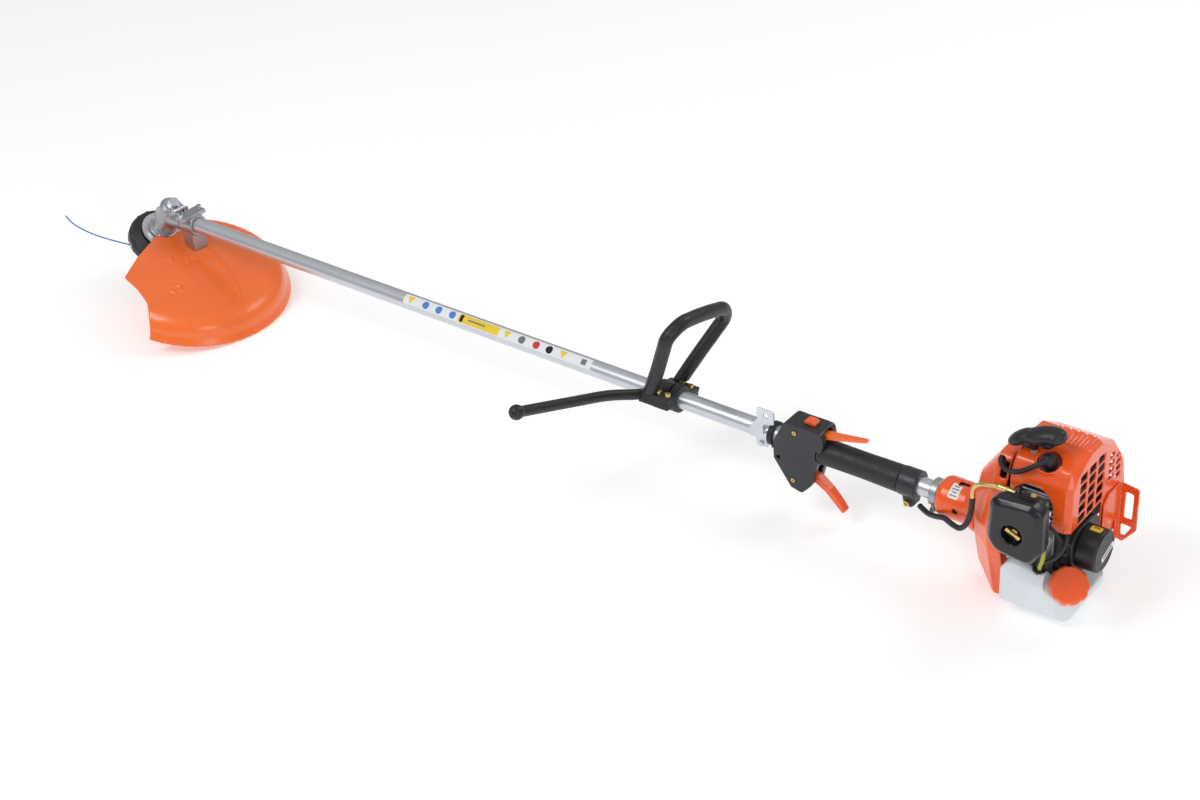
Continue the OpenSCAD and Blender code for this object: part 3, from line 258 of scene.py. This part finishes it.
ORANGE = (0.89, 0.10, 0.009)
BLACK = (0.009, 0.010, 0.013)
orange = plastic("orange_plastic", ORANGE, 0.27, grain=700.0, grain_strength=0.12, mottle=0.05, coat=0.35)
guard_orange = plastic("guard_orange", (0.95, 0.165, 0.02), 0.3, grain=500.0, grain_strength=0.08, mottle=0.03,
                       coat=0.35)
orange_light = plastic("orange_lever", (0.92, 0.15, 0.012), 0.3, mottle=0.05, coat=0.25)
black = plastic("black_plastic", BLACK, 0.42, grain=1100.0, grain_strength=0.5, mottle=0.25)
charcoal = plastic("charcoal_plastic", (0.019, 0.021, 0.026), 0.36, grain=1000.0, grain_strength=0.45, mottle=0.2)
gloss_black = plastic("gloss_black", (0.006, 0.007, 0.010), 0.2, grain=600.0, grain_strength=0.12, mottle=0.2)
rubber = plastic("rubber", (0.011, 0.012, 0.014), 0.5, grain=1500.0, grain_depth=0.00012,
                 grain_strength=0.6, mottle=0.2)
nylon = plastic("line_nylon", (0.05, 0.17, 0.5), 0.3, grain=2000.0, grain_strength=0.1, mottle=0.1)
silver = metal("tube_silver", (0.62, 0.64, 0.68), 0.34, stretch=(0.02, 1, 1), grain=900.0, tarnish=0.04, metallic=0.85)
cast = metal("cast_alloy", (0.42, 0.43, 0.46), 0.36, grain=1600.0, strength=0.5, depth=0.00012, metallic=0.9)
zinc = metal("zinc_plate", (0.66, 0.69, 0.74), 0.26, grain=300.0, strength=0.1)
steel = metal("steel", (0.62, 0.62, 0.63), 0.3, stretch=(1, 1, 0.1))
yellow_zinc = metal("yellow_zinc", (0.72, 0.55, 0.22), 0.3, grain=400.0, tarnish=0.22)
brass = metal("brass", (0.70, 0.48, 0.17), 0.32, grain=500.0, tarnish=0.2)
dark_paint = metal("muffler_paint", (0.14, 0.13, 0.13), 0.55, grain=800.0, strength=0.4, metallic=0.5)
milky = plastic("tank_milky", (0.70, 0.75, 0.79), 0.34, grain=500.0, grain_strength=0.15, mottle=0.03)
ivory = plastic("ivory_plastic", (0.8, 0.78, 0.7), 0.45)
white_glaze = plastic("white_glaze", (0.85, 0.85, 0.83), 0.18, grain_strength=0.05, mottle=0.03)
foam = plastic("filter_foam", (0.09, 0.09, 0.085), 0.9, grain=500.0, grain_depth=0.0008, grain_strength=0.9)
fuel_green = plastic("fuel_line_green", (0.42, 0.45, 0.05), 0.3, mottle=0.08)
label_white = plastic("label_white", (0.82, 0.83, 0.84), 0.4, grain_strength=0.05, mottle=0.02)
label_yellow = plastic("label_yellow", (0.85, 0.6, 0.03), 0.4, grain_strength=0.05, mottle=0.03)
label_blue = plastic("label_blue", (0.06, 0.22, 0.62), 0.4, grain_strength=0.05, mottle=0.03)
label_red = plastic("label_red", (0.6, 0.03, 0.02), 0.4, grain_strength=0.05, mottle=0.03)
label_grey = plastic("label_grey", (0.16, 0.17, 0.18), 0.4, grain_strength=0.05, mottle=0.03)
label_silver = metal("label_silver", (0.74, 0.75, 0.77), 0.35, grain=200.0, metallic=0.8)

LOOK = {
    silver: ["drive_tube"],
    steel: ["drive_shaft", "output_shaft", "crankshaft", "piston", "clutch_shoes", "clutch_drum", "line_knife",
            "throttle_arm"],
    yellow_zinc: ["shaft_liners", "handle_screws", "cable_end"],
    cast: ["gear_case", "guard_bracket", "tube_clamp", "crankcase", "engine_cylinder", "flywheel", "carburetor"],
    zinc: ["head_screws", "grease_plug", "hanger_screw", "hanger_bracket", "line_eyelets"],
    black: ["trimmer_head", "bump_knob", "handle_clamp", "loop_handle", "barrier_bar", "starter_base",
            "starter_drum", "filter_case"],
    gloss_black: ["filter_cover", "starter_grip"],
    charcoal: ["throttle_case_left", "throttle_case_right", "grip_clamp"],
    rubber: ["rear_grip", "tube_stop", "throttle_cable", "ignition_lead", "ignition_coil", "fuel_lines"],
    guard_orange: ["guard"],
    orange: ["clutch_housing", "fan_cover", "cylinder_cover", "muffler_guard", "fuel_cap",
             "throttle_trigger", "stop_switch", "choke_lever"],
    orange_light: ["trigger_lockout"],
    white_glaze: ["spark_plug"],
    dark_paint: ["muffler"],
    foam: ["air_filter"],
    brass: ["cover_knob"],
    milky: ["fuel_tank"],
    ivory: ["rope_pulley"],
    nylon: ["cutting_line"],
}
MATERIAL_OF = {n: m for m, names in LOOK.items() for n in names}
for name, obj in nodes.items():
    obj.data.materials.clear()
    obj.data.materials.append(MATERIAL_OF[name])
    obj.data.polygons.foreach_set("material_index", [0] * len(obj.data.polygons))
cutting_line.data.materials.append(nylon)

# ---- Rounded copies of the moulded and cast pieces -----------------------
# node: (voxel size, smoothing passes)
ROUNDED = {
    "guard": (0.0013, 6), "clutch_housing": (0.0011, 4), "fan_cover": (0.0013, 6), "cylinder_cover": (0.0012, 5),
    "muffler_guard": (0.0009, 3), "fuel_cap": (0.0009, 4), "throttle_trigger": (0.0006, 2),
    "trigger_lockout": (0.0007, 5), "gear_case": (0.0009, 4), "guard_bracket": (0.0008, 3),
    "trimmer_head": (0.0010, 3), "bump_knob": (0.0009, 3), "handle_clamp": (0.0009, 4), "loop_handle": (0.0012, 8),
    "barrier_bar": (0.0011, 8), "starter_base": (0.0012, 5), "starter_drum": (0.0009, 4), "filter_cover": (0.0010, 16),
    "throttle_case_left": (0.0008, 3), "throttle_case_right": (0.0008, 3),
    "grip_clamp": (0.0009, 5), "fuel_tank": (0.0011, 18), "crankcase": (0.0014, 3), "carburetor": (0.0007, 2),
    "throttle_cable": (0.0010, 6), "ignition_lead": (0.0009, 6), "choke_lever": (0.0007, 3),
    "hanger_bracket": (0.0006, 3), "rear_grip": (0.0010, 4), "cover_knob": (0.0005, 4), "stop_switch": (0.0006, 2),
    "cable_end": (0.0006, 4), "grease_plug": (0.0005, 2), "tube_clamp": (0.0008, 3), "muffler": (0.0012, 4),
}
rounded = {}


def apply_modifiers(obj):
    """Turns an object's modifiers into its mesh."""
    bpy.context.view_layer.update()
    graph = bpy.context.evaluated_depsgraph_get()
    mesh = bpy.data.meshes.new_from_object(obj.evaluated_get(graph))
    obj.modifiers.clear()
    obj.data = mesh


def rounded_copy(node, voxel, passes):
    source = nodes[node]
    obj = link(node + "_moulded", source.data.copy())
    remesh = obj.modifiers.new("remesh", "REMESH")
    remesh.mode = "VOXEL"
    remesh.voxel_size = voxel
    remesh.use_smooth_shade = True
    smooth = obj.modifiers.new("smooth", "SMOOTH")
    smooth.factor = 0.5
    smooth.iterations = passes
    apply_modifiers(obj)
    obj.data.name = obj.name
    obj.data.materials.clear()
    obj.data.materials.append(MATERIAL_OF[node])
    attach(obj, source["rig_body"])
    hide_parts(node)
    rounded[node] = obj
    return obj


for node, (voxel, passes) in ROUNDED.items():
    rounded_copy(node, voxel, passes)

# ---- Labels and small details --------------------------------------------


def piece(name, bm, material, smooth=True):
    bmesh.ops.recalc_face_normals(bm, faces=bm.faces)
    for f in bm.faces:
        f.smooth = smooth
    mesh = bpy.data.meshes.new(name)
    bm.to_mesh(mesh)
    bm.free()
    obj = link(name, mesh)
    mesh.materials.append(material)
    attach(obj, "frame")
    return obj


def on_tube(x, turn, radius):
    """A point on a round surface about the tube's axis; turn is 0 on top and grows to the left, in degrees."""
    a = math.radians(turn)
    return at(x, -radius * math.sin(a), radius * math.cos(a))


def wrapped_label(name, outline, x, turn, radius, material, thick=0.12, steps=14):
    """A thin label in the shape of an outline, wrapped round the axis. Outline is in millimetres, (along X, round)."""
    flat = bmesh.new()
    face = flat.faces.new([flat.verts.new((p[0], p[1], 0)) for p in outline])
    lo = min(p[1] for p in outline)
    hi = max(p[1] for p in outline)
    for i in range(1, steps):
        y = lo + (hi - lo) * i / steps
        bmesh.ops.bisect_plane(flat, geom=flat.verts[:] + flat.edges[:] + flat.faces[:], plane_co=(0, y, 0),
                               plane_no=(0, 1, 0))
    extruded = bmesh.ops.extrude_face_region(flat, geom=flat.faces[:])
    for v in [g for g in extruded["geom"] if isinstance(g, bmesh.types.BMVert)]:
        v.co.z += thick
    for v in flat.verts:
        v.co = on_tube(x + v.co.x, turn + math.degrees(v.co.y / radius), radius + v.co.z)
    return piece(name, flat, material, smooth=False)


def disc(r, count=28):
    return [(r * math.cos(2 * math.pi * k / count), r * math.sin(2 * math.pi * k / count)) for k in range(count)]


def panel(w, h, r=1.5):
    """A rectangle with round corners, centred."""
    out = []
    for cx, cy, a0 in ((w / 2 - r, h / 2 - r, 0), (-w / 2 + r, h / 2 - r, 90), (-w / 2 + r, -h / 2 + r, 180),
                       (w / 2 - r, -h / 2 + r, 270)):
        out += [(cx + r * math.cos(math.radians(a0 + 22.5 * k)), cy + r * math.sin(math.radians(a0 + 22.5 * k)))
                for k in range(5)]
    return out


def strip(name, parts, x, turn, radius):
    """Small plain shapes in a row along the tube: (offset along X, outline, material)."""
    for i, (offset, outline, material) in enumerate(parts):
        wrapped_label(f"{name}_{i}", outline, x + offset, turn, radius, material)


TUBE_SKIN = 13.04
LAYER = 0.13
STRIP_X = -990
STRIP_TURN = 38
WEDGE = [(-7, -5.5), (7, -5.5), (0, 6)]
wrapped_label("tube_label_base", panel(370, 17), STRIP_X, STRIP_TURN, TUBE_SKIN, label_white)
strip("tube_label", [(-171, WEDGE, label_yellow), (-140, disc(6.2), label_blue), (-113, disc(6.2), label_blue),
                     (-85, disc(6.2), label_blue), (-32, panel(80, 14), label_yellow),
                     (24, WEDGE, label_yellow), (53, disc(6.2), label_grey), (81, disc(6.2), label_red),
                     (106, disc(6.2), gloss_black), (132, WEDGE, label_yellow), (171, panel(9, 9), label_grey)],
      STRIP_X, STRIP_TURN, TUBE_SKIN + LAYER)
strip("tube_label_bar", [(-66, panel(6, 12), gloss_black), (-36, panel(34, 2.4, 1), label_grey)],
      STRIP_X, STRIP_TURN, TUBE_SKIN + 2 * LAYER)


# Labels on surfaces: cuts each way, the height that rays start from (m), and the depth sunk in (mm)
DECAL_CUTS = 8
RAY_START = 0.06
DECAL_SINK = 0.15


def decal(name, outline, origin, along, across, target, material, lift=0.16):
    """A thin label laid on a node's surface. The outline is in millimetres in the plane of two machine directions."""
    surface = BVHTree.FromObject(target, bpy.context.evaluated_depsgraph_get())
    u, v = way(*along).normalized(), way(*across).normalized()
    n = u.cross(v)
    flat = bmesh.new()
    flat.faces.new([flat.verts.new((p[0], p[1], 0)) for p in outline])
    for axis in (0, 1):
        lo = min(p[axis] for p in outline)
        hi = max(p[axis] for p in outline)
        normal = (1, 0, 0) if axis == 0 else (0, 1, 0)
        for i in range(1, DECAL_CUTS):
            where = lo + (hi - lo) * i / DECAL_CUTS
            bmesh.ops.bisect_plane(flat, geom=flat.verts[:] + flat.edges[:] + flat.faces[:],
                                   plane_co=[where * c for c in normal], plane_no=normal)
    extruded = bmesh.ops.extrude_face_region(flat, geom=flat.faces[:])
    top = {g for g in extruded["geom"] if isinstance(g, bmesh.types.BMVert)}
    centre = at(*origin)
    for vert in flat.verts:
        start = centre + (u * vert.co.x + v * vert.co.y) / 1000 + n * RAY_START
        hit = surface.ray_cast(start, -n)[0] or start - n * RAY_START
        vert.co = hit + n * (lift if vert in top else -DECAL_SINK) / 1000
    return piece(name, flat, material, smooth=False)


housing = rounded["clutch_housing"]
LABEL_AT = (-203, -22, 34)
LABEL_UP = (0, 0.82, 0.57)
BADGE = ((2, 9, -6), (0, 0.95, 0.31), (0, -0.31, 0.95), rounded["starter_drum"])
decal("housing_label", panel(14, 22), LABEL_AT, (1, 0, 0), LABEL_UP, housing, label_white)
for i, offset in enumerate((-7, -2.5, 2, 6.5)):
    place = [p + q * offset for p, q in zip(LABEL_AT, LABEL_UP)]
    decal(f"housing_label_bar_{i}", panel(10 - 3 * (i % 2), 1.5, 0.5), place, (1, 0, 0), LABEL_UP, housing,
          label_grey, lift=0.3)
drum = rounded["starter_drum"]
decal("drum_badge", panel(32, 9, 2), *BADGE, label_silver, lift=0.5)
decal("drum_badge_bar", panel(24, 2.4, 1), *BADGE, gloss_black, lift=0.65)
decal("drum_label", panel(15, 11), (-14, 2, 28), (1, 0, 0), (0, 1, 0), drum, label_yellow)
decal("drum_label_bar", panel(9, 2), (-14, 4, 28), (1, 0, 0), (0, 1, 0), drum, gloss_black, lift=0.3)

# ---- Starter grip ---------------------------------------------------------

def lumps(name, balls, voxel, passes, material, body):
    """Overlapping balls (place, half-sizes, turn about Y) melted into one moulded shape."""
    bm = bmesh.new()
    for place, half, turn in balls:
        m = Matrix.Rotation(math.radians(turn), 3, "Y").to_4x4() @ Matrix.Diagonal((*half, 1))
        m.translation = Vector(place)
        bmesh.ops.create_icosphere(bm, subdivisions=4, radius=1, matrix=mounted((0, 0, 0)) @ m)
    mesh = bpy.data.meshes.new(name)
    bm.to_mesh(mesh)
    bm.free()
    obj = link(name, mesh)
    remesh = obj.modifiers.new("remesh", "REMESH")
    remesh.voxel_size = voxel
    remesh.use_smooth_shade = True
    smooth = obj.modifiers.new("smooth", "SMOOTH")
    smooth.iterations = passes
    apply_modifiers(obj)
    obj.data.name = name
    obj.data.materials.append(material)
    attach(obj, body)
    return obj


grip = lumps("starter_grip_moulded", [
    ((-84, -17, 155), (31, 16, 11), -21), ((-112, -17, 143), (22, 14, 9), -36), ((-69, -17, 158.5), (15, 15, 10), -12),
    ((-101, -17, 141), (12, 12, 9), 0), ((-79, -17, 148), (12, 12, 9), 0), ((-96, -17, 138), (7, 7, 9), 0)],
    0.0009, 5, black, "pull_grip")
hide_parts("starter_grip")

# ---- Hoses and carburettor details ---------------------------------------
hose_green = tube("fuel_hose_green", [at(*q) for q in spline([(-60, -55, 30), (-53, -62, 18), (-54, -62, 4),
                                                              (-59, -57, -10), (-61, -53, -20)], 8)], 0.0029, 14)
hose_green.data.materials.append(fuel_green)
hose_black = tube("fuel_hose_black", [at(*q) for q in spline([(-30, -50, 46), (-28, -58, 34), (-36, -61, 16),
                                                              (-50, -60, 2), (-60, -53, -10), (-63, -50, -20)], 8)],
                  0.0025, 14)
hose_black.data.materials.append(rubber)
for hose in (hose_green, hose_black):
    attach(hose, "frame")


def stud(name, place, axis, radius, height, material, sides=28, dish=0.0):
    """A turned piece with a chamfered rim, from a point along a machine direction; dish sinks its top."""
    profile = [(radius * 0.86, 0), (radius, height * 0.18), (radius, height * 0.8), (radius * 0.84, height)]
    a = way(*axis).normalized()
    u = a.orthogonal().normalized()
    v = a.cross(u)
    bm = bmesh.new()
    rings = [[bm.verts.new(at(*place) + (a * h + (u * math.cos(t) + v * math.sin(t)) * r) / 1000)
              for t in (2 * math.pi * k / sides for k in range(sides))] for r, h in profile]
    if dish:
        rings.append([bm.verts.new(at(*place) + (a * (height - dish)
                      + (u * math.cos(t) + v * math.sin(t)) * radius * 0.5) / 1000)
                      for t in (2 * math.pi * k / sides for k in range(sides))])
    for r0, r1 in zip(rings, rings[1:]):
        for k in range(sides):
            bm.faces.new((r0[k], r1[k], r1[(k + 1) % sides], r0[(k + 1) % sides]))
    bm.faces.new(rings[0])
    bm.faces.new(rings[-1][::-1])
    return piece(name, bm, material, smooth=sides > 12)


stud("tank_grommet", (-62, -52, -21), (0, 0, 1), 8.0, 3.4, rubber, dish=1.4)
stud("carb_brass_nut", (-72, -58, 92), (0, -0.5, 1), 4.4, 4.0, brass, sides=6)
stud("carb_cover_plate", (-56, -63, 64), (0.8, -0.6, 0.1), 9.0, 2.2, zinc)
stud("carb_cover_screw", (-54.4, -64.2, 64.2), (0.8, -0.6, 0.1), 3.2, 1.8, steel, dish=0.8)
stud("carb_idle_screw", (-52, -62, 79), (0.9, -0.5, 0.1), 3.2, 5.0, zinc, dish=0.8)
stud("carb_pump_cap", (-59, -70, 41), (0.7, -0.7, 0), 5.0, 3.0, brass)
RING_STEPS = 22
ring_angles = [2 * math.pi * k / RING_STEPS for k in range(RING_STEPS)]
ring_path = [at(-49 + 5 * math.cos(t) * 0.5, -64, 41 + 6 * math.sin(t)) for t in ring_angles]
ring = tube("choke_ring", ring_path, 0.0011, 8)
ring.data.materials.append(zinc)
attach(ring, "frame")

# ---- Starter rope ---------------------------------------------------------
ROPE_X = -96
ROPE_Y = -17
ROPE_LOW = 92
ROPE_STEP = 0.5
rope_path = [at(ROPE_X, ROPE_Y, ROPE_LOW + ROPE_STEP * i) for i in range(62)]
rope = tube("starter_rope", rope_path, 0.0016, 12)
rope.data.materials.append(label_white)
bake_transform(rope)

# ---- Floor and light -------------------------------------------------------
bm = bmesh.new()
bmesh.ops.create_grid(bm, x_segments=1, y_segments=1, size=14)
mesh = bpy.data.meshes.new("floor")
bm.to_mesh(mesh)
bm.free()
floor = link("floor", mesh)
floor_shader = Shader("floor_pale")
floor_shader.links.new(floor_shader.ramp(floor_shader.noise(0.8), [(0.0, (0.86, 0.86, 0.86)), (1.0, (0.9, 0.9, 0.9))]),
                       floor_shader.bsdf.inputs["Base Color"])
floor_shader.set(Roughness=0.9, Emission_Color=(1, 1, 1, 1), Emission_Strength=0.3)
mesh.materials.append(floor_shader.mat)

world = bpy.data.worlds.new("studio")
world.use_nodes = True
sky_tree = world.node_tree
coords = sky_tree.nodes.new("ShaderNodeTexCoord")
split = sky_tree.nodes.new("ShaderNodeSeparateXYZ")
sky = sky_tree.nodes.new("ShaderNodeValToRGB")
sky.color_ramp.elements[0].position = 0.45
sky.color_ramp.elements[0].color = (0.42, 0.43, 0.45, 1)
sky.color_ramp.elements[1].position = 1.0
sky.color_ramp.elements[1].color = (1, 1, 1, 1)
half = sky_tree.nodes.new("ShaderNodeMapRange")
half.inputs["From Min"].default_value = -1
sky_tree.links.new(coords.outputs["Generated"], split.inputs[0])
sky_tree.links.new(split.outputs["Z"], half.inputs["Value"])
sky_tree.links.new(half.outputs["Result"], sky.inputs["Fac"])
sky_tree.links.new(sky.outputs["Color"], sky_tree.nodes["Background"].inputs["Color"])
sky_tree.nodes["Background"].inputs["Strength"].default_value = 0.62
bpy.context.scene.world = world
bpy.context.scene.view_settings.view_transform = "Standard"


def area(name, place, target, size, power):
    light = bpy.data.lights.new(name, "AREA")
    light.shape = "DISK"
    light.size = size
    light.energy = power
    obj = bpy.data.objects.new(name, light)
    bpy.context.scene.collection.objects.link(obj)
    obj.location = place
    obj.rotation_euler = (Vector(target) - Vector(place)).to_track_quat("-Z", "Y").to_euler()


area("key", (-0.8, -2.2, 3.0), (0.1, 0, 0.1), 1.8, 44)
area("rear", (1.6, 2.2, 2.6), (0.3, 0, 0.1), 2.0, 24)
area("side", (2.8, -1.6, 1.2), (0.6, 0, 0.1), 1.4, 14)
